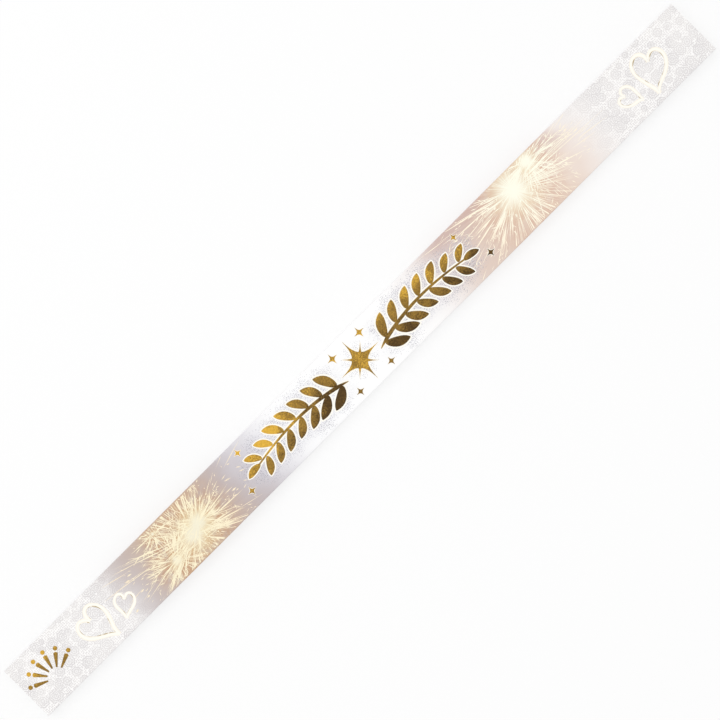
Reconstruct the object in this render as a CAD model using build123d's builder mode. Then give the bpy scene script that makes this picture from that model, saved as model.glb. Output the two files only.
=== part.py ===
"""A slim slide box of hand-held sparklers.

A printed board sleeve holds a white board tray, which slides out at either end.
The tray carries a single layer of sparklers, each a straight wire with a dipped coating.

Frame: +X along the pack towards the coated ends, +Z out of the printed front.
The origin is under the middle of the pack, on the face that it rests on.
"""

import os

from build123d import *

# Driving dimensions, in millimetres

# Sparklers
sparkler_count = 6
sparkler_length = 400.0
coated_length = 300.0
wire_diameter = 2.0
coating_diameter = 3.8
coating_edge = 0.2          # thickness of the coat at the dip line
shoulder_length = 9.0       # from the dip line to the full coat
tip_radius = 1.3            # rounding of the coated tip
tip_cover = 1.6             # coat over the end of the wire
wire_chamfer = 0.25         # cut end of the handle

# Folded board
board = 0.45
crease_radius = 0.2         # inside radius of a fold
glue_film = 0.1
corner_tab_length = 8.0
corner_tab_taper = 0.8      # the tab narrows by this at each side of its free end

# Clearances
bond_gap = 0.02             # coat to wire
sparkler_gap = 0.25         # between neighbours, and to the tray walls
seat_gap = 0.1              # under the coat
headroom = 1.0              # over the coat, up to the rim of the tray
end_play = 2.5              # at each end of a sparkler
slide_gap = 0.25            # tray to sleeve, all round
tray_setback = 0.3          # tray behind the mouth of the sleeve
cut_gap = 0.3               # cut edges clear of the next fold

# Derived sizes
fold_radius = crease_radius + board
roll_radius = 1.5 * board                   # outside radius of the rolled end wall
end_wall = 3 * board                        # two plies with the corner tabs between them
sparkler_pitch = coating_diameter + sparkler_gap

tray_inner_width = sparkler_count * sparkler_pitch + sparkler_gap
tray_inner_length = sparkler_length + 2 * end_play
tray_width = tray_inner_width + 2 * board
tray_length = tray_inner_length + 2 * end_wall
tray_height = board + seat_gap + coating_diameter + headroom

seam = board + glue_film                    # what the outer seam ply adds to one side
loop_width = tray_width + 2 * (slide_gap + board)
sleeve_width = loop_width + seam
sleeve_height = tray_height + 2 * (slide_gap + board)
sleeve_length = tray_length + 2 * tray_setback

# Derived places
inner_y = -seam / 2                         # middle of the tray: the seam takes room on one side
middle_z = sleeve_height / 2
tray_floor = board + slide_gap              # underside of the tray
tray_top = tray_floor + board               # face that the sparklers lie on
tray_rim = tray_floor + tray_height
tray_end = tray_length / 2
side_height = sleeve_height - 2 * fold_radius
axis_z = tray_top + seat_gap + coating_diameter / 2
coat_start = sparkler_length / 2 - coated_length
wire_length = sparkler_length - tip_cover

sleeve_start = Plane.YZ.offset(-sleeve_length / 2)
tray_middle = Plane.XZ.offset(-inner_y)

os.makedirs("parts", exist_ok=True)


def folded_loop(y, z, width, height):
    """Section of board folded into a rectangular loop, in the sketch that is open."""
    with Locations((y, z)):
        RectangleRounded(width, height, fold_radius)
        RectangleRounded(width - 2 * board, height - 2 * board, crease_radius, mode=Mode.SUBTRACT)


# Sleeve: one blank, folded at four creases and glued down one narrow side.
# The front carries both of its creases.
with BuildPart() as sleeve_front_panel:
    with BuildSketch(sleeve_start):
        folded_loop(0, middle_z, sleeve_width, sleeve_height)
        with Locations((0, sleeve_height)):
            Rectangle(sleeve_width, 2 * fold_radius, mode=Mode.INTERSECT)
    extrude(amount=sleeve_length)

# The back carries the crease of the plain side and that of the inner seam ply.
with BuildPart() as sleeve_back_panel:
    with BuildSketch(sleeve_start):
        folded_loop(inner_y, middle_z, loop_width, sleeve_height)
        with Locations((inner_y, 0)):
            Rectangle(loop_width, 2 * fold_radius, mode=Mode.INTERSECT)
    extrude(amount=sleeve_length)

with BuildPart() as sleeve_right_side:
    with BuildSketch(sleeve_start):
        with Locations((-sleeve_width / 2, middle_z)):
            Rectangle(board, side_height, align=(Align.MIN, Align.CENTER))
    extrude(amount=sleeve_length)

# Outer seam ply, which hangs from the front and stops short of the face below
with BuildPart() as sleeve_left_side:
    with BuildSketch(sleeve_start):
        with Locations((sleeve_width / 2, cut_gap)):
            Rectangle(board, sleeve_height - fold_radius - cut_gap, align=(Align.MAX, Align.MIN))
    extrude(amount=sleeve_length)

# Inner seam ply, which stands on the crease of the back and stops short of the front
with BuildPart() as sleeve_seam_flap:
    with BuildSketch(sleeve_start):
        with Locations((sleeve_width / 2 - seam, fold_radius)):
            seam_flap_height = sleeve_height - board - cut_gap - fold_radius
            Rectangle(board, seam_flap_height, align=(Align.MAX, Align.MIN))
    extrude(amount=sleeve_length)

# Glue between the two seam plies, where both are flat
with BuildPart() as seam_glue:
    with BuildSketch(sleeve_start):
        with Locations((sleeve_width / 2 - board, middle_z)):
            Rectangle(glue_film, side_height, align=(Align.MAX, Align.CENTER))
    extrude(amount=sleeve_length)

# Tray: one blank, with plain long walls and rolled end walls that lock the corner tabs.
with BuildPart() as tray_base:
    with BuildSketch(Plane.YZ.offset(fold_radius - tray_end)):
        folded_loop(inner_y, tray_floor + tray_height / 2, tray_width, tray_height)
        with Locations((inner_y, tray_floor)):
            Rectangle(tray_width, 2 * fold_radius, mode=Mode.INTERSECT)
    extrude(amount=tray_length - 2 * fold_radius)

with BuildPart() as tray_left_wall:
    with BuildSketch(Plane.YZ.offset(board - tray_end)):
        with Locations((inner_y + tray_width / 2, tray_floor + fold_radius)):
            Rectangle(board, tray_height - fold_radius, align=(Align.MAX, Align.MIN))
    extrude(amount=tray_length - 2 * board)

with BuildPart() as tray_right_wall:
    mirror(tray_left_wall.part, about=tray_middle)

# Rolled end wall: up from the crease of the base, over the rim and down inside
with BuildPart() as tray_head_wall:
    roll_z = tray_rim - roll_radius
    roll_x = tray_end - roll_radius
    with BuildSketch(tray_middle):
        with BuildLine():
            crease_start = (tray_end - fold_radius, tray_floor)
            RadiusArc(crease_start, (tray_end, tray_floor + fold_radius), -fold_radius)
            Line((tray_end, tray_floor + fold_radius), (tray_end, roll_z))
            ThreePointArc((tray_end, roll_z), (roll_x, tray_rim), (tray_end - end_wall, roll_z))
            Polyline(
                (tray_end - end_wall, roll_z),
                (tray_end - end_wall, tray_top),
                (tray_end - 2 * board, tray_top),
                (tray_end - 2 * board, roll_z),
            )
            inner_rim = (roll_x, tray_rim - board)
            ThreePointArc((tray_end - 2 * board, roll_z), inner_rim, (tray_end - board, roll_z))
            Line((tray_end - board, roll_z), (tray_end - board, tray_floor + fold_radius))
            crease_end = (tray_end - fold_radius, tray_top)
            RadiusArc((tray_end - board, tray_floor + fold_radius), crease_end, crease_radius)
            Line(crease_end, crease_start)
        make_face()
    extrude(amount=tray_inner_width / 2 - cut_gap, both=True)
    # The outer ply also covers the ends of the long walls
    with BuildSketch(tray_middle):
        with Locations((tray_end, tray_floor + fold_radius)):
            Rectangle(board, roll_z - tray_floor - fold_radius, align=(Align.MAX, Align.MIN))
    extrude(amount=tray_width / 2, both=True)

with BuildPart() as tray_tail_wall:
    mirror(tray_head_wall.part, about=Plane.YZ)

# Corner tabs, folded in from the long walls and held between the plies of the end walls
with BuildPart() as tray_corner_tabs:
    tab_root = inner_y + tray_inner_width / 2
    tab_low = tray_floor + fold_radius + cut_gap
    with BuildSketch(Plane.YZ.offset(tray_end - 2 * board)):
        with BuildLine():
            Polyline(
                (tab_root, tab_low),
                (tab_root, roll_z),
                (tab_root - corner_tab_length, roll_z - corner_tab_taper),
                (tab_root - corner_tab_length, tab_low + corner_tab_taper),
                close=True,
            )
        make_face()
    extrude(amount=board)
    mirror(about=tray_middle)
    mirror(about=Plane.YZ)

box_pieces = {
    "sleeve_front_panel": sleeve_front_panel,
    "sleeve_back_panel": sleeve_back_panel,
    "sleeve_right_side": sleeve_right_side,
    "sleeve_left_side": sleeve_left_side,
    "sleeve_seam_flap": sleeve_seam_flap,
    "seam_glue": seam_glue,
    "tray_base": tray_base,
    "tray_left_wall": tray_left_wall,
    "tray_right_wall": tray_right_wall,
    "tray_head_wall": tray_head_wall,
    "tray_tail_wall": tray_tail_wall,
    "tray_corner_tabs": tray_corner_tabs,
}
for name, piece in box_pieces.items():
    piece.part.label = name
    export_step(piece.part, f"parts/{name}.step")

# Sparklers: a straight wire, bare at the handle end, and a coat that was dipped tip down,
# so it feathers out at the dip line and covers the end of the wire with a rounded tip.
for number in range(1, sparkler_count + 1):
    axis_y = inner_y + (number - (sparkler_count + 1) / 2) * sparkler_pitch

    with BuildPart() as wire:
        with BuildSketch(Plane.YZ.offset(-sparkler_length / 2)):
            with Locations((axis_y, axis_z)):
                Circle(wire_diameter / 2)
        extrude(amount=wire_length)
        handle_end = wire.faces().sort_by(Axis.X)[0]
        chamfer(handle_end.edges(), wire_chamfer)
    wire.part.label = f"sparkler_{number}_wire"
    export_step(wire.part, f"parts/{wire.part.label}.step")

    dip_line = Plane(origin=(coat_start, axis_y, axis_z), x_dir=(1, 0, 0), z_dir=(0, -1, 0))
    bore = wire_diameter / 2 + bond_gap
    bore_end = coated_length - tip_cover + bond_gap
    tip_start = coated_length - tip_radius
    tip_face = coating_diameter / 2 - tip_radius
    with BuildPart() as coating:
        with BuildSketch(dip_line):
            with BuildLine():
                edge_top = (0, wire_diameter / 2 + coating_edge)
                shoulder_end = (shoulder_length, coating_diameter / 2)
                TangentArc(shoulder_end, edge_top, tangent=(-1, 0))
                Line(shoulder_end, (tip_start, coating_diameter / 2))
                CenterArc((tip_start, tip_face), tip_radius, start_angle=0, arc_size=90)
                Polyline((coated_length, tip_face), (coated_length, 0), (bore_end, 0))
                Polyline((bore_end, 0), (bore_end, bore), (0, bore), edge_top)
            make_face()
        revolve(axis=Axis(dip_line.origin, (1, 0, 0)))
    coating.part.label = f"sparkler_{number}_coating"
    export_step(coating.part, f"parts/{coating.part.label}.step")

print(f"pack {sleeve_length:.2f} x {sleeve_width:.2f} x {sleeve_height:.2f} mm")
print(f"length to width {sleeve_length / sleeve_width:.2f}")
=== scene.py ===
"""Looks of the sparkler slide box: dipped sparklers, plain tray, printed sleeve with foil and glitter."""

import math
import random

import bpy
from mathutils import Matrix, Vector


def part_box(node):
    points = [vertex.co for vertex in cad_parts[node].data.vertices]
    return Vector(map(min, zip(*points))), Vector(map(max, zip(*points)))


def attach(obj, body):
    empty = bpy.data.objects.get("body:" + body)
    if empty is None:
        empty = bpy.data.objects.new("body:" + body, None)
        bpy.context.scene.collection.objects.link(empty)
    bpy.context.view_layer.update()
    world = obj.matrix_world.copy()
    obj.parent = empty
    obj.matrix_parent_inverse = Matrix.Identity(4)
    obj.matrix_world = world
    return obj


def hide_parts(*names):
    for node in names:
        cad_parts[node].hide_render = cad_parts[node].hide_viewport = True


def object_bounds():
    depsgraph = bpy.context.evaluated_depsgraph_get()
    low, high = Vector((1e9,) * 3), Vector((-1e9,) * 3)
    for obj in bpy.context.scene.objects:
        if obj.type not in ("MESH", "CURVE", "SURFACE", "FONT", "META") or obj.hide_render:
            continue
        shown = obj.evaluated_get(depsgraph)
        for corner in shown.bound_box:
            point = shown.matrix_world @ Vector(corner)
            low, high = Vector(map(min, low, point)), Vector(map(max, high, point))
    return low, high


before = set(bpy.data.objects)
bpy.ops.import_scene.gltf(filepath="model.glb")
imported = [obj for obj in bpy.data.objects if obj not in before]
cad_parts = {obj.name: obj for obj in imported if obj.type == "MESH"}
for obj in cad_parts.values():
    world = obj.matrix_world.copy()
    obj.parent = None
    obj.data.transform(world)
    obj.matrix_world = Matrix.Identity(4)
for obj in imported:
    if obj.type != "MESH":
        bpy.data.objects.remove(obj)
cad_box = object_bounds()
bpy.context.scene.view_settings.view_transform = "Standard"
bpy.ops.object.select_all(action="DESELECT")


# Sparkler wires: straight soft steel, drawn through a die and cropped to length.
# The bare end is the handle. Die marks run along it, and a thin brown tarnish dulls it in places.
MM = 0.001
SPARKLERS = range(1, 7)
WIRE_GREYS = ((0.44, 0.43, 0.42), (0.68, 0.67, 0.66))
WIRE_TARNISH = (0.42, 0.36, 0.31)
TARNISH_SHARE = 0.5
WIRE_MARKS = (0.05, 8.0, 8.0)
WIRE_CLOUDS = (0.12, 0.6, 0.6)
MARK_DEPTH = 0.02 * MM


def ink(colour):
    """A colour as it looks on screen, in the linear values that a shader takes."""
    return tuple(((c + 0.055) / 1.055) ** 2.4 if c > 0.04045 else c / 12.92 for c in colour) + (1.0,)


def feed(socket, value):
    """Links a node's socket to a value from another node, or sets it to a plain value."""
    if isinstance(value, bpy.types.NodeSocket):
        socket.id_data.links.new(value, socket)
    else:
        socket.default_value = value


def add_node(kind, inputs, **settings):
    """Outputs of a new node with those inputs and settings, in the tree that the inputs come from."""
    tree = next(value.id_data for value in inputs.values() if isinstance(value, bpy.types.NodeSocket))
    node = tree.nodes.new("ShaderNode" + kind)
    for name, setting in settings.items():
        setattr(node, name, setting)
    for socket, value in inputs.items():
        feed(node.inputs[socket], value)
    return node.outputs


def calc(operation, a, b=0.0, clamp=False):
    """Output of a Math node."""
    return add_node("Math", {0: a, 1: b}, operation=operation, use_clamp=clamp)[0]


def vector_calc(operation, a, b=(0.0, 0.0, 0.0)):
    """Outputs of a Vector Math node."""
    return add_node("VectorMath", {0: a, 1: b}, operation=operation)


def times(*factors):
    """Product of several values."""
    product = factors[0]
    for factor in factors[1:]:
        product = calc("MULTIPLY", product, factor)
    return product


def scaled(value, factor, base):
    """The value times the factor, with the base added."""
    return calc("ADD", times(value, factor), base)


def fade(value, start, end):
    """0 before start and 1 after end, with a smooth way between; start may be the larger."""
    inputs = {"Value": value, "From Min": min(start, end), "From Max": max(start, end),
              "To Min": float(start > end), "To Max": float(start < end)}
    return add_node("MapRange", inputs, interpolation_type="SMOOTHSTEP")["Result"]


def mix(factor, a, b):
    """Colour a with colour b over it by the factor; each is an ink or comes from another node."""
    below, above = (ink(colour) if isinstance(colour, tuple) else colour for colour in (a, b))
    return add_node("Mix", {0: factor, 6: below, 7: above}, data_type="RGBA")[2]


def stretch(vector, factors):
    """The vector with each of its parts scaled."""
    return vector_calc("MULTIPLY", vector, factors)[0]


def noise(vector, scale, detail=2.0, roughness=0.5):
    """Grey noise with the given number of grains per unit of the vector."""
    inputs = {"Vector": vector, "Scale": scale, "Detail": detail, "Roughness": roughness}
    return add_node("TexNoise", inputs)["Fac"]


def new_material(name, roughness, specular, look, *details):
    """A material of that finish; its look gives the colour at a point in millimetres, and sets the rest."""
    material = bpy.data.materials.new(name)
    material.use_nodes = True
    nodes = material.node_tree.nodes
    shader = nodes["Principled BSDF"]
    shader.inputs["Roughness"].default_value = roughness
    shader.inputs["Specular IOR Level"].default_value = specular
    place = nodes.new("ShaderNodeTexCoord")
    point = stretch(place.outputs["Object"], (1 / MM, 1 / MM, 1 / MM))
    feed(shader.inputs["Base Color"], look(shader, point, *details))
    return material


def bump(shader, height, strength, distance):
    """Raises the surface by a height, of at most the distance in metres."""
    raised = add_node("Bump", {"Height": height, "Strength": strength, "Distance": distance})
    feed(shader.inputs["Normal"], raised["Normal"])


def dress(nodes, material):
    """Gives CAD pieces their finish."""
    for node in nodes:
        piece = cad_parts[node]
        piece.data.materials.clear()
        piece.data.materials.append(material)


def drawn_steel(shader, point):
    """Bare wire with die marks along it."""
    marks = noise(stretch(point, WIRE_MARKS), 1.0, 3.0, 0.6)
    tarnish = fade(noise(stretch(point, WIRE_CLOUDS), 1.0, 3.0), 0.50, 0.75)
    feed(shader.inputs["Roughness"], scaled(marks, 0.3, 0.24))
    feed(shader.inputs["Metallic"], 1.0)
    bump(shader, marks, 0.35, MARK_DEPTH)
    return mix(times(tarnish, TARNISH_SHARE), mix(marks, *WIRE_GREYS), WIRE_TARNISH)


dress([f"sparkler_{number}_wire" for number in SPARKLERS],
      new_material("drawn_steel", 0.4, 0.5, drawn_steel))


# Sparkler coats: metal powder in a binder, built up by dipping the wire tip down and drying it.
# The coat feathers out at the dip line and ends in a rounded tip. Its skin is lumpy and full of grains.
EDGES = (False, True, False)
FACES = (False, False, True)
COAT_SIDES = 32
COAT_RINGS = (30, 25)
TIP_RINGS = 3
SHOULDER = 9.0 * MM
EDGE_RADIUS = 1.2 * MM
TIP_RADIUS = 1.3 * MM
TIP_COVER = 1.6 * MM
BORE_RADIUS = 1.02 * MM
BORE_MARGIN = 1.03
EDGE_GRAIN = 0.25
GRAIN_ROOM = 0.10 * MM
GRAIN_CONTRAST = 2.0
GRAIN_DEPTH = 0.25 * MM
COAT_SKINS = (("lumps", 3.2 * MM, 0.09 * MM), ("grains", 0.8 * MM, 0.18 * MM))
COAT_GREYS = ((0.23, 0.23, 0.24), (0.48, 0.475, 0.47))
COAT_FLECK = (0.60, 0.59, 0.57)
FINE_GRAINS = 3.4
FLECKS = 4.5

coat_low, coat_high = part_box("sparkler_1_coating")
COAT_LENGTH = coat_high.x - coat_low.x
COAT_RADIUS = (coat_high.z - coat_low.z) / 2 - GRAIN_ROOM


def coat_radius(along):
    """Radius of the coat at a distance from the dip line."""
    if along < SHOULDER:
        rise = COAT_RADIUS - EDGE_RADIUS
        sweep = (SHOULDER ** 2 + rise ** 2) / (2 * rise)
        return COAT_RADIUS - sweep + math.sqrt(sweep ** 2 - (SHOULDER - along) ** 2)
    past_tip = max(along - COAT_LENGTH + TIP_RADIUS, 0.0)
    return COAT_RADIUS - TIP_RADIUS + math.sqrt(max(TIP_RADIUS ** 2 - past_tip ** 2, 0.0))


def edit_only(piece, parts, kind, wanted):
    """Opens the piece in edit mode, with those of its parts selected whose corners pass the test."""
    mesh = piece.data
    for every in (mesh.vertices, mesh.edges, mesh.polygons):
        every.foreach_set("select", [False] * len(every))
    for part in parts:
        part.select = wanted([mesh.vertices[corner].co for corner in part.vertices])
    bpy.context.tool_settings.mesh_select_mode = kind
    bpy.ops.object.mode_set(mode="EDIT")


def discard(*shapes):
    """Removes shapes that were only there to be copied."""
    for shape in shapes:
        bpy.data.objects.remove(shape)


def cells(vector, scale, randomness=1.0, dimensions="3D"):
    """Pattern of scattered centres, with the given number of them per unit of the vector."""
    inputs = {"Vector": vector, "Scale": scale, "Randomness": randomness}
    return add_node("TexVoronoi", inputs, voronoi_dimensions=dimensions)


def parts_of(vector):
    """The parts of a vector along X, Y and Z."""
    return add_node("SeparateXYZ", {0: vector})


def spark_composition(shader, point):
    """Dull grey grains with bright metal flecks among them."""
    grain = noise(point, FINE_GRAINS, 4.0, 0.7)
    cloud = noise(point, 0.22)
    fleck_cells = cells(point, FLECKS)
    chance = parts_of(fleck_cells["Color"])[0]
    ragged = calc("ADD", fleck_cells["Distance"], times(grain, 0.60))
    fleck = times(fade(chance, 0.80, 1.00), fade(ragged, 0.68, 0.50))
    shade = calc("ADD", times(fade(grain, 0.3, 0.7), 0.75), times(cloud, 0.25))
    feed(shader.inputs["Metallic"], times(fleck, 0.9))
    feed(shader.inputs["Roughness"], calc("SUBTRACT", 0.92, times(fleck, 0.55)))
    bump(shader, grain, 0.9, GRAIN_DEPTH)
    return mix(fleck, mix(shade, *COAT_GREYS), COAT_FLECK)


bpy.ops.mesh.primitive_cylinder_add(vertices=COAT_SIDES, radius=COAT_RADIUS, depth=COAT_LENGTH,
                                    rotation=(0, math.radians(90), 0))
coat = bpy.context.object
bpy.ops.object.transform_apply(location=True, rotation=True, scale=True)
run = COAT_LENGTH
for rings in COAT_RINGS:
    edit_only(coat, coat.data.edges, EDGES, lambda ends: abs(ends[0].x - ends[1].x) > run / 2)
    bpy.ops.mesh.subdivide(number_cuts=rings - 1)
    bpy.ops.object.mode_set(mode="OBJECT")
    run /= rings
tip_start = COAT_LENGTH / 2 - TIP_RADIUS - run
edit_only(coat, coat.data.edges, EDGES,
          lambda ends: min(end.x for end in ends) > tip_start and abs(ends[0].x - ends[1].x) > 0.1 * MM)
bpy.ops.mesh.subdivide(number_cuts=TIP_RINGS)
bpy.ops.object.mode_set(mode="OBJECT")
for vertex in coat.data.vertices:
    size = coat_radius(vertex.co.x + COAT_LENGTH / 2) / COAT_RADIUS
    vertex.co.y *= size
    vertex.co.z *= size

# The bore that the wire fills, from the dip line to the cover of the tip
dip_line = -COAT_LENGTH / 2 + 0.01 * MM
edit_only(coat, coat.data.polygons, FACES, lambda corners: max(corner.x for corner in corners) < dip_line)
bpy.ops.mesh.inset(thickness=EDGE_RADIUS - BORE_RADIUS, depth=0.0)
bpy.ops.mesh.extrude_region_move(TRANSFORM_OT_translate={"value": (COAT_LENGTH - TIP_COVER, 0, 0)})
bpy.ops.object.mode_set(mode="OBJECT")
skin = coat.vertex_groups.new(name="skin")
for vertex in coat.data.vertices:
    along = vertex.co.x + COAT_LENGTH / 2
    in_bore = vertex.co.yz.length < BORE_RADIUS * BORE_MARGIN and along < COAT_LENGTH - TIP_RADIUS
    skin.add([vertex.index], 0.0 if in_bore else min(EDGE_GRAIN + along / SHOULDER, 1.0), "REPLACE")
bpy.ops.object.shade_smooth_by_angle(angle=math.radians(50))

skin_textures = []
for skin_name, grain_size, grain_height in COAT_SKINS:
    texture = bpy.data.textures.new(skin_name, type="CLOUDS")
    texture.noise_scale = grain_size
    texture.noise_depth = 2
    texture.contrast = GRAIN_CONTRAST
    skin_textures.append((skin_name, texture, grain_height))
coat_finish = new_material("spark_composition", 0.9, 0.25, spark_composition)
for number in SPARKLERS:
    low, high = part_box(f"sparkler_{number}_coating")
    piece = bpy.data.objects.new(f"sparkler_{number}_coat", coat.data.copy())
    piece.vertex_groups.new(name="skin")
    piece.data.transform(Matrix.Translation((low + high) / 2))
    bpy.context.collection.objects.link(piece)
    bpy.context.view_layer.objects.active = piece
    for skin_name, texture, grain_height in skin_textures:
        displace = piece.modifiers.new(skin_name, "DISPLACE")
        displace.texture = texture
        displace.texture_coords = "LOCAL"
        displace.strength = grain_height
        displace.vertex_group = "skin"
        bpy.ops.object.modifier_apply(modifier=skin_name)
    piece.data.materials.append(coat_finish)
    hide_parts(f"sparkler_{number}_coating")
    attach(piece, f"sparkler_{number}")
discard(coat)


# Tray: one blank of white folding board, creased, folded up and locked by its rolled end walls.
# It isn't printed. Powder rubs off the coats and greys the floor in a lane under each of them.
TRAY_NODES = ["tray_base", "tray_left_wall", "tray_right_wall", "tray_head_wall", "tray_tail_wall",
              "tray_corner_tabs"]
BOARD_FINISH = (0.82, 0.2)
BOARD_FACE = ((0.935, 0.930, 0.912), (0.980, 0.977, 0.965))
BOARD_CLOUD = (0.915, 0.908, 0.888)
BOARD_CORE = ((0.780, 0.770, 0.742), (0.890, 0.882, 0.860))
BOARD_FIBRES = 5.0
FIBRE_DEPTH = 0.03 * MM
CUT_FACES = (0.6, 0.9)
POWDER = (0.50, 0.50, 0.51)
POWDER_SHARE = 0.55
LANE_WIDTH = 1.5
RIM_DEPTH = 0.06
END_WALLS = 2.0


def facing(shader):
    """The parts along X, Y and Z of the way the surface faces."""
    place = shader.id_data.nodes.new("ShaderNodeTexCoord")
    return parts_of(place.outputs["Normal"])


def bare_board(point, cut):
    """Colour of unprinted board: soft fibres on the face, and a greyer core where it was cut."""
    fibre = noise(point, BOARD_FIBRES, 4.0, 0.65)
    cloud = noise(point, 0.35)
    face = mix(times(cloud, 0.4), mix(fibre, *BOARD_FACE), BOARD_CLOUD)
    return mix(cut, face, mix(fibre, *BOARD_CORE)), fibre


def tray_board(shader, point):
    """Plain white board with cut rims and powder smudges."""
    x, y, z = parts_of(point)
    facing_up = facing(shader)[2]
    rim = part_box("tray_left_wall")[1].z / MM
    wall_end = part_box("tray_left_wall")[1].x / MM - END_WALLS
    cut = times(fade(facing_up, *CUT_FACES), fade(z, rim - RIM_DEPTH, rim - RIM_DEPTH / 2),
                fade(calc("ABSOLUTE", x), wall_end + 0.2, wall_end))
    colour, fibre = bare_board(point, cut)

    floor_top = coat_low.z / MM
    first_axis = (coat_low.y + coat_high.y) / 2 / MM
    next_low, next_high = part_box("sparkler_2_coating")
    half_pitch = ((next_low.y + next_high.y) / 2 / MM - first_axis) / 2
    off_axis = calc("PINGPONG", calc("SUBTRACT", y, first_axis), half_pitch)
    coated = fade(x, coat_low.x / MM - 3.0, coat_low.x / MM + 5.0)
    on_floor = times(fade(z, floor_top + 0.5, floor_top + 0.1), fade(facing_up, 0.3, 0.8))
    dust = fade(noise(point, 0.9, 4.0, 0.65), 0.25, 0.75)
    smudge = times(fade(off_axis, LANE_WIDTH, 0.2), coated, on_floor, dust, POWDER_SHARE)
    bump(shader, fibre, 0.35, FIBRE_DEPTH)
    return mix(smudge, colour, POWDER)


dress(TRAY_NODES, new_material("tray_board", *BOARD_FINISH, tray_board))


# Sleeve back and seam: the unprinted panels of the sleeve's blank, with a smooth clay coat outside.
# The inner seam ply is glued inside the outer one with a thin film of white glue, dried to a dull skin.
COATED_FACE = ((0.955, 0.952, 0.945), (0.978, 0.976, 0.970))
CLAY_DEPTH = 0.02 * MM
BACK_FOLD = (0.62, 0.50)
SCUFF = (0.885, 0.880, 0.868)
SCUFF_SHARE = 0.5
SCUFF_MARKS = (0.08, 0.7, 0.7)
GLUE_TONES = ((0.86, 0.83, 0.72), (0.93, 0.91, 0.84))
GLUE_WAVES = (0.25, 1.0, 1.5)
GLUE_DEPTH = 0.04 * MM


def coated_back(shader, point):
    """Clay-coated face outside with faint rub marks, bare board inside, grey core at the cuts."""
    facing_x, facing_y, facing_z = facing(shader)
    cut = fade(calc("ABSOLUTE", facing_x), *CUT_FACES)
    inside, fibre = bare_board(point, cut)
    rubs = fade(noise(stretch(point, SCUFF_MARKS), 1.0, 4.0, 0.7), 0.55, 0.80)
    coated = mix(times(rubs, SCUFF_SHARE), mix(noise(point, 1.2, 3.0), *COATED_FACE), SCUFF)
    outside = times(fade(facing_z, 0.10, 0.02), fade(parts_of(point)[2], *BACK_FOLD),
                    calc("SUBTRACT", 1.0, cut))
    bump(shader, fibre, 0.2, CLAY_DEPTH)
    return mix(outside, inside, coated)


def seam_board(shader, point):
    """Bare board of the inner seam ply."""
    facing_x, facing_y, facing_z = facing(shader)
    cut = fade(calc("MAXIMUM", calc("ABSOLUTE", facing_x), facing_z), *CUT_FACES)
    colour, fibre = bare_board(point, cut)
    bump(shader, fibre, 0.35, FIBRE_DEPTH)
    return colour


def dried_glue(shader, point):
    """Yellowish film with brush waves."""
    waves = noise(stretch(point, GLUE_WAVES), 1.0, 3.0)
    bump(shader, waves, 0.4, GLUE_DEPTH)
    return mix(waves, *GLUE_TONES)


dress(["sleeve_back_panel"], new_material("coated_back", 0.55, 0.3, coated_back))
dress(["sleeve_seam_flap"], new_material("seam_board", *BOARD_FINISH, seam_board))
dress(["seam_glue"], new_material("dried_glue", 0.38, 0.45, dried_glue))


# Sleeve sides: the print's ground runs over the creases and down both narrow sides.
# It goes from lace at both ends through dusty rose to white in the middle; the inside stays bare board.
PACK_LENGTH = cad_box[1].x - cad_box[0].x
PACK_WIDTH = cad_box[1].y - cad_box[0].y
PACK_MM = PACK_LENGTH / MM
PRINT_FINISH = (0.46, 0.35)
VARNISH_DEPTH = 0.02 * MM

# Places along the pack run from 0 at the handle end to 1 at the tip end; colours are as printed.
GROUND = [
    (0.000, (0.925, 0.918, 0.915)),
    (0.125, (0.905, 0.895, 0.895)),
    (0.160, (0.762, 0.724, 0.724)),
    (0.200, (0.757, 0.680, 0.634)),
    (0.245, (0.782, 0.674, 0.582)),
    (0.285, (0.752, 0.670, 0.627)),
    (0.320, (0.732, 0.692, 0.698)),
    (0.352, (0.850, 0.840, 0.865)),
    (0.400, (0.985, 0.985, 0.985)),
    (0.570, (0.985, 0.985, 0.985)),
    (0.615, (0.945, 0.925, 0.920)),
    (0.655, (0.860, 0.780, 0.730)),
    (0.700, (0.855, 0.755, 0.690)),
    (0.775, (0.885, 0.795, 0.730)),
    (0.815, (0.935, 0.890, 0.862)),
    (0.850, (0.935, 0.920, 0.915)),
    (1.000, (0.925, 0.918, 0.915)),
]
WAVER = 0.06
SLANT = 0.0008
LACE_GROUNDS = ((0.900, 0.888, 0.882), (0.842, 0.829, 0.830))
LACE_THREAD = (0.998, 0.992, 0.986)
LACE_SHARE = 0.85
LACE_FADE = ((0.172, 0.118), (0.820, 0.880))
ROSETTES = 0.19
ROSETTE_PETALS = 8.0
ROSETTE_LEAST = 1.3
ROSETTE_MORE = 2.2
SCALLOP = 0.20
RING_PITCH = 0.95
NET_HOLES = 1.15
PICOTS = 1.5
DUSK = (0.760, 0.650, 0.635)
DUSK_SHARE = 0.6
DUSK_PLACES = ((0.600, 0.665), (0.835, 0.790))
DUSK_HEIGHTS = (0.0, 13.0)


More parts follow.
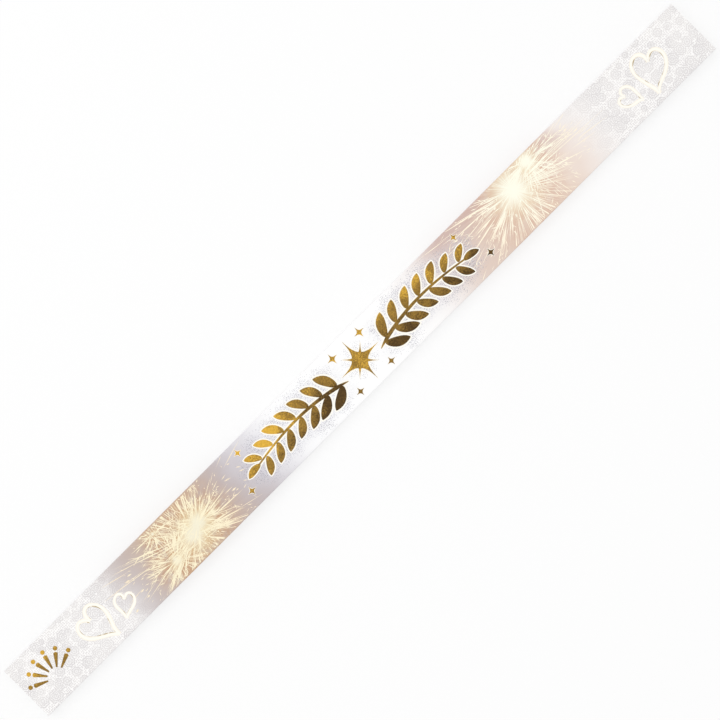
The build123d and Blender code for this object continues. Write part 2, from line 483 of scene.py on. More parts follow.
def lace(x, across):
    """How much thread shows at a place, and where scalloped rosettes are worked on the fine net."""
    flat = add_node("CombineXYZ", {0: x, 1: across})[0]
    rosette = cells(flat, ROSETTES, 0.85, "2D")
    arm_x, arm_y, arm_z = parts_of(vector_calc("SUBTRACT", flat, rosette["Position"])[0])
    radius = calc("DIVIDE", rosette["Distance"], ROSETTES)
    petals = calc("COSINE", times(calc("ARCTAN2", arm_y, arm_x), ROSETTE_PETALS))
    size = scaled(parts_of(rosette["Color"])[0], ROSETTE_MORE, ROSETTE_LEAST)
    inward = calc("SUBTRACT", size, scaled(petals, SCALLOP, radius))
    rings = fade(calc("COSINE", times(inward, math.tau / RING_PITCH)), -0.2, 0.6)
    in_rosette = fade(inward, -0.20, 0.0)
    net = fade(cells(flat, NET_HOLES, 0.45, "2D")["Distance"], 0.20, 0.54)
    picots = fade(cells(flat, PICOTS, 0.80, "2D")["Distance"], 0.66, 0.26)
    stitched = times(rings, scaled(picots, 0.75, 0.25), in_rosette)
    thread = calc("ADD", stitched, times(net, calc("SUBTRACT", 1.0, in_rosette)), clamp=True)
    return thread, in_rosette


def printed_ground(point, x, y, across):
    """Colour of the print's ground, with edges as soft and uneven as an airbrushed fade."""
    place = calc("ADD", calc("DIVIDE", x, PACK_MM), 0.5)
    waver = times(calc("SUBTRACT", noise(point, 0.05, 3.0), 0.5), WAVER)
    soft_place = calc("ADD", calc("ADD", place, waver), times(y, SLANT))
    ramp = x.id_data.nodes.new("ShaderNodeValToRGB")
    feed(ramp.inputs["Fac"], soft_place)
    ramp.color_ramp.interpolation = "B_SPLINE"
    stops = ramp.color_ramp.elements
    for place_along, colour in GROUND[1:-1]:
        stops.new(place_along).color = ink(colour)
    stops[0].color = ink(GROUND[0][1])
    stops[len(stops) - 1].color = ink(GROUND[-1][1])
    dusk = times(fade(soft_place, *DUSK_PLACES[0]), fade(soft_place, *DUSK_PLACES[1]),
                 fade(y, *DUSK_HEIGHTS), DUSK_SHARE)
    ground = mix(dusk, ramp.outputs["Color"], DUSK)
    in_lace = calc("MAXIMUM", fade(place, *LACE_FADE[0]), fade(place, *LACE_FADE[1]))
    thread, in_rosette = lace(x, across)
    clouds = fade(noise(point, 0.10), 0.38, 0.62)
    shadow = calc("ADD", times(clouds, 0.70), times(in_rosette, 0.25))
    laid_lace = mix(thread, mix(shadow, *LACE_GROUNDS), LACE_THREAD)
    return mix(times(in_lace, LACE_SHARE), ground, laid_lace)


def varnish(shader, point):
    """Fine unevenness of the varnish over the print."""
    bump(shader, noise(point, 2.2, 3.0, 0.55), 0.25, VARNISH_DEPTH)


def printed_side(shader, point, outward):
    """Print on the outer face of a narrow side, bare board inside and at its cut ends."""
    x, y, z = parts_of(point)
    facing_x, facing_y, facing_z = facing(shader)
    cut = fade(calc("MAXIMUM", calc("ABSOLUTE", facing_x), calc("ABSOLUTE", facing_z)), *CUT_FACES)
    bare, fibre = bare_board(point, cut)
    outside = fade(times(facing_y, outward), 0.3, 0.7)
    varnish(shader, point)
    return mix(outside, bare, printed_ground(point, x, y, z))


for side, outward in (("right", -1.0), ("left", 1.0)):
    side_print = new_material(f"printed_{side}_side", *PRINT_FINISH, printed_side, outward)
    dress([f"sleeve_{side}_side"], side_print)


# Sleeve front: the main printed face, with a soft satin varnish over the ink.
# Two spark bursts glow out of the rose ground; the ink is rubbed thin along the two creases.
FRONT = cad_box[1].z
RUBBED = (0.970, 0.965, 0.955)
RUB_SHARE = 0.5
RUB_WIDTHS = (0.7, 0.1)
MIST = (0.790, 0.780, 0.815)
MIST_SHARE = 0.46
MIST_ENDS = (82.0, 60.0)
MIST_GAP = (4.0, 18.0)
MIST_SIDES = (11.6, 6.8)

# Each ink of a burst, from the lowest: which light of burst_light it follows, colour and share
LEFT_INKS = [
    (3, (0.745, 0.560, 0.410), 0.64),
    (2, (0.970, 0.875, 0.690), 0.28),
    (1, (0.985, 0.925, 0.690), 0.30),
    (0, (0.950, 0.928, 0.838), 0.92),
]
RIGHT_INKS = [
    (3, (0.800, 0.610, 0.500), 0.46),
    (2, (0.985, 0.935, 0.835), 0.42),
    (1, (0.995, 0.960, 0.800), 0.40),
    (0, (0.990, 0.988, 0.925), 0.94),
]
# Each burst: place along the pack, height across it in mm, core radius and reach in mm
LEFT_BURSTS = [
    (0.245, -2.4, 5.6, 38.0),
    (0.258, 0.2, 4.4, 18.0),
    (0.213, -5.4, 2.4, 23.0),
    (0.214, 10.2, 0.9, 11.0),
]
RIGHT_BURSTS = [
    (0.742, 5.2, 7.6, 42.0),
    (0.773, 10.0, 3.4, 25.0),
]
BURSTS = LEFT_BURSTS + RIGHT_BURSTS


def from_middle(place_along):
    """Millimetres from the middle of the pack to a place along it."""
    return (place_along - 0.5) * PACK_MM


def burst_light(point, place_along, height, core, reach):
    """Core, halo, haze of fine rays and embers of a burst, each from 0 to 1 at a point of the print."""
    centre = (from_middle(place_along), height, 0.0)
    arm = vector_calc("SUBTRACT", stretch(point, (1.0, 1.0, 0.0)), centre)[0]
    radius = vector_calc("LENGTH", arm)["Value"]
    fine = noise(vector_calc("NORMALIZE", arm)[0], 8.0 + reach * 0.3, 3.0, 0.7)
    rays = fade(calc("ADD", fine, times(noise(point, 0.30), 0.25)), 0.56, 0.80)
    haze = times(rays, fade(radius, reach * 0.9, core * 0.6))
    ragged = calc("ADD", radius, times(calc("SUBTRACT", fine, 0.5), core * 2.4))
    glow = fade(ragged, core * 1.3, core * 0.3)
    halo = fade(ragged, core * 2.2, core * 0.6)
    patches = fade(noise(point, 0.28, 3.0, 0.6), 0.32, 0.58)
    ember = times(patches, fade(radius, reach * 0.72, reach * 0.25))
    return glow, halo, haze, ember


def printed_front(shader, point):
    """Varnished print on white board."""
    x, y, z = parts_of(point)
    facing_x, facing_y, facing_z = facing(shader)
    off_x, off_y, end_on = (calc("ABSOLUTE", part) for part in (x, y, facing_x))
    colour = printed_ground(point, x, y, y)
    for bursts, inks in ((LEFT_BURSTS, LEFT_INKS), (RIGHT_BURSTS, RIGHT_INKS)):
        lights = [burst_light(point, *burst) for burst in bursts]
        for layer, layer_ink, share in inks:
            for light in lights:
                colour = mix(times(light[layer], share), colour, layer_ink)
    mist = times(fade(noise(point, 2.6, 3.0, 0.7), 0.40, 0.62), fade(off_x, *MIST_ENDS),
                 fade(off_x, *MIST_GAP), fade(off_y, *MIST_SIDES), MIST_SHARE)
    colour = mix(mist, colour, MIST)

    rub_start, rub_end = (PACK_WIDTH / MM / 2 - width for width in RUB_WIDTHS)
    worn = fade(noise(point, 1.6, 4.0, 0.7), 0.45, 0.75)
    colour = mix(times(fade(off_y, rub_start, rub_end), worn, RUB_SHARE), colour, RUBBED)
    outside = times(fade(facing_z, -0.10, -0.02), fade(end_on, 0.8, 0.5))
    bare, fibre = bare_board(point, fade(end_on, *CUT_FACES))
    varnish(shader, point)
    return mix(outside, bare, colour)


dress(["sleeve_front_panel"], new_material("printed_front", *PRINT_FINISH, printed_front))


# Spark rays: the brightest streaks of both bursts, in thick opaque ink that stands up from the print.
# They fly in bundles. Each is a thin ridged needle; many fork at the end or break up into a starlet.
INK_SINK = 0.010 * MM
CONE_SINK = 0.002 * MM
INK_FINISH = (0.50, 0.25)
RAY_LIFT = 0.020 * MM
RAY_HEIGHTS = (0.55, 1.0)
RAY_WIDEST = 0.45
PRINT_EDGE = PACK_WIDTH / 2 - 0.62 * MM
NEAR_INKS = ((0.978, 0.940, 0.815), (0.992, 0.984, 0.912))
FAR_INKS = ((0.985, 0.915, 0.795), (0.993, 0.942, 0.850))
COOLING_PLACES = (4.0, 26.0)
BUNDLES = 22
SIDE_BUNDLES = 12
BUNDLE_SPREAD = 0.11
SIDE_SPREAD = 0.55
RAY_START = 0.4

# Each kind of ray: how many for a mm of reach, start and length in shares of the reach, width in mm,
# how far it strays from the burst's spokes, and how often it forks
RAY_KINDS = [
    (4.4, (0.00, 0.18), (0.12, 0.60), (0.14, 0.36), 0.06, 0.0),
    (1.1, (0.06, 0.28), (0.18, 0.62), (0.36, 0.80), 0.08, 0.6),
    (0.2, (0.15, 0.25), (0.70, 1.05), (0.24, 0.40), 0.02, 0.0),
    (5.0, (0.15, 0.85), (0.02, 0.10), (0.18, 0.50), 0.50, 0.0),
    (0.2, (0.55, 1.00), (0.05, 0.09), (0.60, 0.95), 0.10, 0.0),
    (0.9, (0.40, 0.80), (0.22, 0.52), (0.20, 0.38), 0.04, 0.0),
]
FORK_NUMBERS = (2, 5)
FORK_PLACES = (0.0, 0.55)
FORK_TURNS = (0.15, 0.8)
FORK_LENGTHS = (1.5, 6.0)
FORK_WIDTHS = (0.18, 0.45)
STARLET_CHANCE = 0.15
STARLET_BEAMS = 6
BEAM_LENGTHS = (0.8, 2.0)
BEAM_WIDTHS = (0.25, 0.4)


def lay_out(name, outline, sink):
    """Names the new shape and puts its corners on the outline, in metres, sunk into the print."""
    shape = bpy.context.object
    shape.name = name
    for vertex, (along, across) in zip(shape.data.vertices, outline):
        vertex.co = (along, across, -sink)
    return shape


def face_outwards():
    """Turns the faces of the active shape outwards, and leaves it in object mode."""
    bpy.ops.object.mode_set(mode="EDIT")
    bpy.ops.mesh.select_all(action="SELECT")
    bpy.ops.mesh.normals_make_consistent(inside=False)
    bpy.ops.object.mode_set(mode="OBJECT")


def low_cone(name, outline, peak, lift):
    """A low closed cone on that outline, with its peak standing up from the print by its lift."""
    bpy.ops.mesh.primitive_cone_add(vertices=len(outline), radius1=1.0, radius2=0.0, depth=1.0)
    shape = lay_out(name, outline, CONE_SINK)
    shape.data.vertices[-1].co = (*peak, lift)
    face_outwards()
    return shape


def step_from(x, y, angle, distance):
    """The place at a distance from another one, in the way of the angle."""
    return x + distance * math.cos(angle), y + distance * math.sin(angle)


def on_front(x, y, angle=0.0, along=1.0, across=1.0, up=1.0):
    """Matrix that lays a shape on the front, at a place in millimetres, turned and sized."""
    place = Matrix.Translation((x * MM, y * MM, FRONT))
    return place @ Matrix.Rotation(angle, 4, "Z") @ Matrix.Diagonal((along, across, up, 1.0))


def place_copy(shape, matrix, layer):
    """A copy of a shape with its own mesh, put in its place and added to a layer."""
    copy = bpy.data.objects.new(shape.name, shape.data.copy())
    copy.data.transform(matrix)
    bpy.context.collection.objects.link(copy)
    layer.append(copy)


def join_layer(name, layer):
    """Joins the copies of a layer into one piece."""
    bpy.ops.object.select_all(action="DESELECT")
    for copy in layer:
        copy.select_set(True)
    bpy.context.view_layer.objects.active = layer[0]
    bpy.ops.object.join()
    piece = bpy.context.object
    piece.name = name
    return piece


def trim_to_front(piece):
    """Cuts off what runs over the two long edges of the flat front."""
    bpy.ops.object.select_all(action="DESELECT")
    bpy.context.view_layer.objects.active = piece
    piece.select_set(True)
    bpy.ops.object.mode_set(mode="EDIT")
    for way in (1, -1):
        bpy.ops.mesh.select_all(action="SELECT")
        bpy.ops.mesh.bisect(plane_co=(0, way * PRINT_EDGE, FRONT), plane_no=(0, way, 0),
                            clear_outer=True, threshold=1e-8)
    bpy.ops.mesh.select_all(action="SELECT")
    bpy.ops.mesh.fill_holes(sides=0)
    face_outwards()


def finish_print(piece, material):
    """Material, slot and body of a piece of the print."""
    piece.data.materials.append(material)
    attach(piece, "sleeve")


needle_outline = [(0, 0), (RAY_WIDEST, 0.5), (1, 0), (RAY_WIDEST, -0.5)]
needle = low_cone("needle", needle_outline, (RAY_WIDEST, 0), RAY_LIFT)
ray_dice = random.Random(11)
ray_layer = []


def lay_ray(x, y, angle, length, width):
    """One ray from a place in millimetres; gives the place where it ends."""
    up = ray_dice.uniform(*RAY_HEIGHTS)
    place_copy(needle, on_front(x, y, angle, length * MM, width * MM, up), ray_layer)
    return step_from(x, y, angle, length)


def lay_forks(x, y, angle, length):
    """Short rays that leave the outer part of a ray, and now and then a starlet at its end."""
    for fork in range(ray_dice.randint(*FORK_NUMBERS)):
        back = length * ray_dice.uniform(*FORK_PLACES)
        turn = ray_dice.choice((-1, 1)) * ray_dice.uniform(*FORK_TURNS)
        lay_ray(*step_from(x, y, angle, -back), angle + turn,
                ray_dice.uniform(*FORK_LENGTHS), ray_dice.uniform(*FORK_WIDTHS))
    if ray_dice.random() < STARLET_CHANCE:
        for beam in range(STARLET_BEAMS):
            lay_ray(x, y, ray_dice.uniform(0, math.tau),
                    ray_dice.uniform(*BEAM_LENGTHS), ray_dice.uniform(*BEAM_WIDTHS))


for place_along, height, core, reach in BURSTS:
    bundles = [(bundle + ray_dice.random()) * math.tau / BUNDLES for bundle in range(BUNDLES)]
    for bundle in range(SIDE_BUNDLES):
        bundles.append(ray_dice.choice((0, math.pi)) + ray_dice.gauss(0, SIDE_SPREAD))
    for crowd, starts, lengths, widths, stray, forked in RAY_KINDS:
        for ray in range(int(reach * crowd)):
            way = ray_dice.choice(bundles) + ray_dice.gauss(0, BUNDLE_SPREAD)
            start = core * RAY_START + reach * ray_dice.uniform(*starts)
            angle = way + ray_dice.gauss(0, stray)
            length = reach * ray_dice.uniform(*lengths)
            root = step_from(from_middle(place_along), height, way, start)
            end = lay_ray(*root, angle, length, ray_dice.uniform(*widths))
            if ray_dice.random() < forked:
                lay_forks(*end, angle, length)


def spark_ink(shader, point):
    """Opaque ink, cream near the cores and cooler gold further out, warmer in the left-hand bursts."""
    centres = [(from_middle(burst[0]), burst[1], FRONT / MM) for burst in BURSTS]
    gaps = [vector_calc("DISTANCE", point, centre)["Value"] for centre in centres]
    nearest = gaps[0]
    for gap in gaps[1:]:
        nearest = calc("MINIMUM", nearest, gap)
    uneven = calc("ADD", noise(point, 0.8), 0.4)
    cooling = calc("MULTIPLY", fade(nearest, *COOLING_PLACES), uneven, clamp=True)
    side = fade(parts_of(point)[0], -20.0, 20.0)
    return mix(cooling, mix(side, *NEAR_INKS), mix(side, *FAR_INKS))


spark_rays = join_layer("spark_rays", ray_layer)
trim_to_front(spark_rays)
finish_print(spark_rays, new_material("spark_ink", *INK_FINISH, spark_ink))


# Hearts: four outlines that look drawn in the air with a lit sparkler, a pair at each end.
# Each is a soft cream band in three tones with a fine gold line inside it and short spark hairs.
HEART_POINTS = 72
HEART_SLIM = 0.74
HEART_UNITS = 29
HAIRS_PER_MM = 5.3
HAIR_SPREAD = 0.6
HAIR_ROOTS = (-0.1, 0.4)
HAIR_LENGTHS = (0.5, 1.3)
HAIR_WIDTHS = (0.14, 0.24)
HAIR_HEIGHTS = (0.5, 0.7)

# Each heart: place along the pack, height across it in mm, height and band width in mm, tilt in degrees
HEARTS = [
    (0.1068, -1.9, 18.4, 1.32, 21.0),
    (0.1400, -3.4, 10.9, 1.02, -38.0),
    (0.9003, -2.8, 10.8, 1.00, 38.0),
    (0.9340, -1.4, 19.0, 1.30, -25.0),
]
# Each tone: share of the band's width, lift and ink
HEART_TONES = [
    (1.30, 0.005 * MM, (0.975, 0.950, 0.900)),
    (0.98, 0.009 * MM, (0.992, 0.972, 0.925)),
    (0.62, 0.013 * MM, (0.998, 0.990, 0.955)),
]
GOLD_LINE = (0.690, 0.610, 0.420)
LINE_LIFT = 0.010 * MM
LINE_PLACES = (0.56, 0.68)
INK_SHADE = (0.62, 0.54, 0.46)
INK_GRAIN = 0.04


def heart_point(turn, size):
    """Point of a heart's outline, and the way it faces outwards, at a turn from the notch."""
    height = 13 * math.cos(turn) - 5 * math.cos(2 * turn) - 2 * math.cos(3 * turn) - math.cos(4 * turn) + 2.5
    rise = -13 * math.sin(turn) + 10 * math.sin(2 * turn) + 6 * math.sin(3 * turn) + 4 * math.sin(4 * turn)
    place = Vector((16 * math.sin(turn) ** 3 * HEART_SLIM, height))
    way = Vector((48 * math.sin(turn) ** 2 * math.cos(turn) * HEART_SLIM, rise))
    return place * (size / HEART_UNITS), Vector((-way.y, way.x)).normalized()


def heart_edge(size, offset, wobble):
    """Outline, in metres, of a heart set in or out by millimetres, a little unsteady, as by hand."""
    edge = []
    for step in range(HEART_POINTS):
        turn = (step + 0.5) * math.tau / HEART_POINTS
        place, outwards = heart_point(turn, size)
        unsteady = 1.0 + 0.16 * math.sin(3 * turn + wobble) + 0.10 * math.sin(7 * turn + 2 * wobble)
        moved = place + outwards * offset * unsteady
        if moved.x * place.x < 0:
            moved.x = math.copysign(0.05, place.x)
        edge.append((moved.x * MM, moved.y * MM))
    return edge


def band_shape(name, outer, inner, lift):
    """A flat closed band between two outlines of as many points."""
    bpy.ops.mesh.primitive_circle_add(vertices=len(outer))
    bpy.ops.object.mode_set(mode="EDIT")
    bpy.ops.mesh.primitive_circle_add(vertices=len(inner))
    bpy.ops.object.mode_set(mode="OBJECT")
    shape = lay_out(name, outer + inner, INK_SINK)
    bpy.context.tool_settings.mesh_select_mode = EDGES
    bpy.ops.object.mode_set(mode="EDIT")
    bpy.ops.mesh.select_all(action="SELECT")
    bpy.ops.mesh.bridge_edge_loops()
    bpy.ops.mesh.select_all(action="SELECT")
    bpy.ops.mesh.extrude_region_move(TRANSFORM_OT_translate={"value": (0, 0, INK_SINK + lift)})
    face_outwards()
    return shape


def plain_ink(shader, point, colour):
    """Opaque satin ink, a little uneven."""
    return mix(times(noise(point, 1.5, 3.0), INK_GRAIN), colour, INK_SHADE)


def heart_line_ink(shader, point):
    """Gold-brown line that comes and goes along the band, as a flame's edge does."""
    return mix(fade(noise(point, 0.30), 0.44, 0.56), HEART_TONES[0][2], GOLD_LINE)


heart_dice = random.Random(5)
tone_layers = [[] for tone in HEART_TONES]
line_layer = []
for wobble, (place_along, height, size, band, tilt) in enumerate(HEARTS):
    upright = on_front(from_middle(place_along), height, math.radians(tilt))
    for layer, (share, lift, colour) in zip(tone_layers, HEART_TONES):
        half = band * share / 2
        outer = heart_edge(size, half, wobble)
        ring = band_shape("heart", outer, heart_edge(size, -half, wobble + 1), lift)
        place_copy(ring, upright, layer)
        discard(ring)
    outer = heart_edge(size, -band * LINE_PLACES[0], wobble + 1)
    line = band_shape("heart_line", outer, heart_edge(size, -band * LINE_PLACES[1], wobble + 2.2), LINE_LIFT)
    place_copy(line, upright, line_layer)
    discard(line)
    to_heart = upright @ Matrix.Translation((0, 0, -FRONT))
    for hair in range(int(HAIRS_PER_MM * size)):
        place, outwards = heart_point(heart_dice.uniform(0, math.tau), size)
        spread = math.atan2(outwards.y, outwards.x) + heart_dice.gauss(0, HAIR_SPREAD)
        root = place + outwards * band * heart_dice.uniform(*HAIR_ROOTS)
        laid = on_front(root.x, root.y, spread, heart_dice.uniform(*HAIR_LENGTHS) * MM,
                        heart_dice.uniform(*HAIR_WIDTHS) * MM, heart_dice.uniform(*HAIR_HEIGHTS))
        place_copy(needle, to_heart @ laid, tone_layers[1])
for number, (layer, (share, lift, colour)) in enumerate(zip(tone_layers, HEART_TONES), 1):
    heart_ink = new_material(f"heart_ink_{number}", *INK_FINISH, plain_ink, colour)
    finish_print(join_layer(f"heart_light_{number}", layer), heart_ink)
line_ink = new_material("heart_line_ink", *INK_FINISH, heart_line_ink)
finish_print(join_layer("heart_lines", line_layer), line_ink)


# Gold sprays: two laurel sprays either side of a star, stamped in gold foil over a cream edge.
# The foil is laid hot on raised ink, so it is mottled; a painted reflection and painted sheen run it from
# bright gold to dark bronze.
SPRAY_ENDS = (10.0, 63.0)
LEAF_PAIRS = 7
LEAF_LENGTHS = (11.2, 8.4)
LEAF_PLUMP = 0.40
LEAF_BOW = 0.06
LEAF_SPREAD = math.radians(46)
LEAF_STALK = 0.9
LEAF_POINTS = 24
LEAF_UNIT = 10.0
STEM_LOW = -3.0
STEM_RISE = 4.2
STEM_WIDTHS = (1.9, 0.7)
STEM_FOOT = 0.12
STEM_POINTS = 30
STAR_POINTS = 48
STAR_HOLLOW = 4.6
STAR_CORE = 0.3
FULL_EDGE_STAR = 5.0

# Each star: place in mm, size in mm and turn; the first two make the large one in the middle
STARS = [(0.0, 0.0, 10.8, 0.0), (0.0, 0.0, 7.4, math.radians(45))]
STARS += [(side * x, y, size, 0.0) for side in (1, -1) for x, y, size in
          ((8.2, 8.8, 2.4), (9.4, -9.8, 1.9), (66.0, 9.0, 1.7), (73.0, -7.0, 2.0))]
EDGE_WIDTH = 0.65
EDGE_LIFT = 0.016 * MM
FOIL_LIFT = 0.040 * MM
FOIL_CHAMFER = 0.016 * MM
LAYER_STEP = 0.03
EDGE_INK = (0.996, 0.985, 0.950)
GOLDS = ((0.715, 0.563, 0.208), (0.480, 0.370, 0.158), (0.262, 0.191, 0.083))
FOIL_FINISH = (0.34, 0.5)
FOIL_SHINE = 0.85
MOTTLE_DEPTH = 0.05 * MM


def part_way(ends, share):
    """The value at a share of the way from one end to the other."""
    return ends[0] + (ends[1] - ends[0]) * share


def leaf_outline(grow):
    """Outline of a plump brush-like leaf, from its base to its pointed tip."""
    outline = []
    for step in range(LEAF_POINTS):
        turn = step * math.tau / LEAF_POINTS
        tipness = (1 - math.cos(turn)) / 2
        swell = math.copysign(abs(math.sin(turn)) ** (1 + 0.6 * tipness), math.sin(turn))
        bow = LEAF_BOW * math.sin(math.pi * tipness)
        along = tipness * LEAF_UNIT - grow * math.cos(turn)
        across = (swell * LEAF_PLUMP / 2 + bow) * LEAF_UNIT + grow * math.sin(turn)
        outline.append((along * MM, across * MM))
    return outline


def star_outline(size, grow):
    """Outline of a four-pointed star with hollow sides."""
    outline = []
    for step in range(STAR_POINTS):
        turn = step * math.tau / STAR_POINTS
        ways = (math.cos(turn), math.sin(turn))
        arms = [math.copysign(abs(way) ** STAR_HOLLOW, way) * size for way in ways]
        outline.append([(arm + way * grow) * MM for arm, way in zip(arms, ways)])
    return outline


def stem_place(share):
    """Place on the stem of the right-hand spray, from its foot near the star to its tip."""
    bend = math.sin(math.pi * 0.86 * share ** 0.85)
    return Vector((part_way(SPRAY_ENDS, share), STEM_LOW + STEM_RISE * bend))


def stem_angle(share):
    """Way that the stem runs at a place on it."""
    ahead = stem_place(share + 0.01) - stem_place(share - 0.01 if share > 0.01 else 0.0)
    return math.atan2(ahead.y, ahead.x)


def stem_outline(grow):
    """Outline of the tapering stem."""
    sides = ([], [])
    for step in range(STEM_POINTS + 1):
        share = step / STEM_POINTS
        foot = min(0.15 + share / STEM_FOOT, 1.0)
        half = part_way(STEM_WIDTHS, share) / 2 * foot + grow
        angle = stem_angle(share)
        across = Vector((-math.sin(angle), math.cos(angle))) * half
        sides[0].append(stem_place(share) - across)
        sides[1].append(stem_place(share) + across)
    return [(place.x * MM, place.y * MM) for place in sides[0] + sides[1][::-1]]


spray_dice = random.Random(3)
leaf_places = []
for pair in range(LEAF_PAIRS):
    share = (pair + 0.45) / (LEAF_PAIRS + 0.1)
    for side in (1, -1):
        foot = stem_place(share + 0.02 * side)
        angle = stem_angle(share) + side * (LEAF_SPREAD + spray_dice.uniform(-0.05, 0.05))
        length = part_way(LEAF_LENGTHS, share) * spray_dice.uniform(0.94, 1.06)
        leaf_places.append((*step_from(*foot, angle, LEAF_STALK), angle, length, side))
tip = stem_place(1.0)
leaf_places.append((tip.x - 0.6, tip.y, stem_angle(1.0), LEAF_LENGTHS[1] * 0.95, 1))


def flat_shape(name, outline, lift, chamfer):
    """A flat closed shape of that outline, in metres, that stands up from the print by its lift."""
    bpy.ops.mesh.primitive_circle_add(vertices=len(outline), fill_type="NGON")
    shape = lay_out(name, outline, INK_SINK)
    bpy.context.tool_settings.mesh_select_mode = FACES
    bpy.ops.object.mode_set(mode="EDIT")
    bpy.ops.mesh.select_all(action="SELECT")
    bpy.ops.mesh.extrude_region_move(TRANSFORM_OT_translate={"value": (0, 0, INK_SINK + lift)})
    if chamfer:
        bpy.ops.mesh.inset(thickness=chamfer, depth=chamfer / 2)
    face_outwards()
    return shape


def lay_sprays(name, grow, lift, chamfer):
    """Both sprays and the stars, all shapes set out by the growth, as one piece."""
    leaf = flat_shape("leaf", leaf_outline(grow), lift, chamfer)
    stem = flat_shape("stem", stem_outline(grow), lift, chamfer)
    layer = []
    for side in (1, -1):
        mirror = Matrix.Diagonal((side, 1.0, 1.0, 1.0))
        place_copy(stem, mirror @ on_front(0, 0), layer)
        for number, (x, y, angle, length, bow) in enumerate(leaf_places, 1):
            size = length / LEAF_UNIT
            laid = on_front(x, y, angle, size, size * bow, 1.0 + number * LAYER_STEP)
            place_copy(leaf, mirror @ laid, layer)
    for number, (x, y, size, turn) in enumerate(STARS):
        edge = grow * min(size / FULL_EDGE_STAR, 1.0) + STAR_CORE
        star = flat_shape("star", star_outline(size, edge), lift, chamfer)
        place_copy(star, on_front(x, y, turn, up=1.0 + number * LAYER_STEP), layer)
        discard(star)
    discard(leaf, stem)
    piece = join_layer(name, layer)
    face_outwards()
    return piece


def painted_spray_reflection(x, y):
    """How dark the foil of the sprays is, as painted reflection: bright at the outer left, bronze to the
    middle and below.
    """
    below = fade(y, 8.5, -8.5)
    left = calc("ADD", times(fade(x, -66.0, -14.0), 0.62), times(below, 0.55))
    left = calc("SUBTRACT", left, 0.12)
    right = scaled(below, 0.60, 0.28)
    side = fade(x, -8.0, 8.0)
    shade = calc("ADD", times(left, calc("SUBTRACT", 1.0, side)), times(right, side))
    star = fade(calc("ABSOLUTE", x), 14.0, 10.0)
    return times(shade, calc("SUBTRACT", 1.0, times(star, 0.55)))


def gold_foil(shader, point, shade):
    """Hot-stamped foil, mottled, with painted sheen, from bright gold to dark bronze by the painted
    reflection that the shade gives at each place.
    """
    x, y, z = parts_of(point)
    mottle = fade(noise(point, 1.5, 5.0, 0.75), 0.30, 0.70)
    # Painted sheen: broad lighter and darker patches laid over the foil's real mottle.
    painted_sheen = fade(noise(point, 0.12, 1.0), 0.35, 0.65)
    mottle_and_sheen = calc("ADD", times(mottle, 0.45), times(painted_sheen, 0.30))
    # Real mottle, painted sheen and the painted reflection together set how dark the foil is.
    dark = calc("ADD", shade(x, y), calc("SUBTRACT", mottle_and_sheen, 0.34), clamp=True)
    feed(shader.inputs["Metallic"], FOIL_SHINE)
    feed(shader.inputs["Roughness"], scaled(mottle, 0.25, 0.22))
    bump(shader, mottle, 0.25, MOTTLE_DEPTH)
    return mix(fade(dark, 0.5, 1.0), mix(fade(dark, 0.0, 0.5), GOLDS[0], GOLDS[1]), GOLDS[2])


spray_edges = lay_sprays("spray_edges", EDGE_WIDTH, EDGE_LIFT, 0.0)
finish_print(spray_edges, new_material("spray_edge_ink", *INK_FINISH, plain_ink, EDGE_INK))
spray_foil = lay_sprays("spray_foil", 0.0, FOIL_LIFT, FOIL_CHAMFER)
# The foil's colour carries the painted reflection of the sprays.
finish_print(spray_foil, new_material("gold_foil", *FOIL_FINISH, gold_foil, painted_spray_reflection))


# Glitter: silver flakes strewn into wet varnish round the sprays, thick at their edges, thin further out.
# One small cloud of flakes is laid again and again, turned each time, along the leaves.
FLAKE_CORNERS = (0.2, 1.5, 3.4, 4.6)
FLAKE_SIZES = (0.16, 0.42)
FLAKE_SHARES = (0.6, 1.0)
FLAKE_LIFT = 0.010 * MM
# Painted glints: flakes that catch the light are drawn in the lighter grey, the others in the darker.
FLAKE_GLINT_TONES = ((0.530, 0.520, 0.560), (0.800, 0.795, 0.820))
FLAKE_SHINE = 0.4
CLOUD_FLAKES = 150
CLOUD_SPREAD = 1.7
CLOUD_HEIGHTS = (0.7, 1.0)
CLOUDS_PER_LEAF = 6
STAR_CLOUDS = 8
STAR_CLOUD_RADIUS = 5.0
EDGE_CLEAR = 0.24

flake_outline = [step_from(0, 0, turn, 0.5) for turn in FLAKE_CORNERS]
flake = low_cone("flake", flake_outline, (0.0, 0.0), FLAKE_LIFT)
glitter_dice = random.Random(8)
cloud_layer = []
for number in range(CLOUD_FLAKES):
    size = glitter_dice.uniform(*FLAKE_SIZES) * MM
    x = glitter_dice.gauss(0, CLOUD_SPREAD) * MM
    y = glitter_dice.gauss(0, CLOUD_SPREAD) * MM
    slim = glitter_dice.uniform(*FLAKE_SHARES)
    up = glitter_dice.uniform(*FLAKE_SHARES)
    turned = Matrix.Rotation(glitter_dice.uniform(0, math.tau), 4, "Z")
    shaped = Matrix.Diagonal((size, size * slim, up, 1.0))
    place_copy(flake, Matrix.Translation((x, y, 0)) @ turned @ shaped, cloud_layer)
flake_cloud = join_layer("flake_cloud", cloud_layer)
glitter_layer = []
for side in (1, -1):
    for x, y, angle, length, bow in leaf_places:
        for cloud in range(CLOUDS_PER_LEAF):
            along = length * glitter_dice.uniform(0.1, 1.1)
            across = length * EDGE_CLEAR * (1 if cloud % 2 else -1)
            cloud_x, cloud_y = step_from(*step_from(x, y, angle, along), angle + math.pi / 2, across)
            turn = glitter_dice.uniform(0, math.tau)
            laid = on_front(side * cloud_x, cloud_y, turn, up=glitter_dice.uniform(*CLOUD_HEIGHTS))
            place_copy(flake_cloud, laid, glitter_layer)
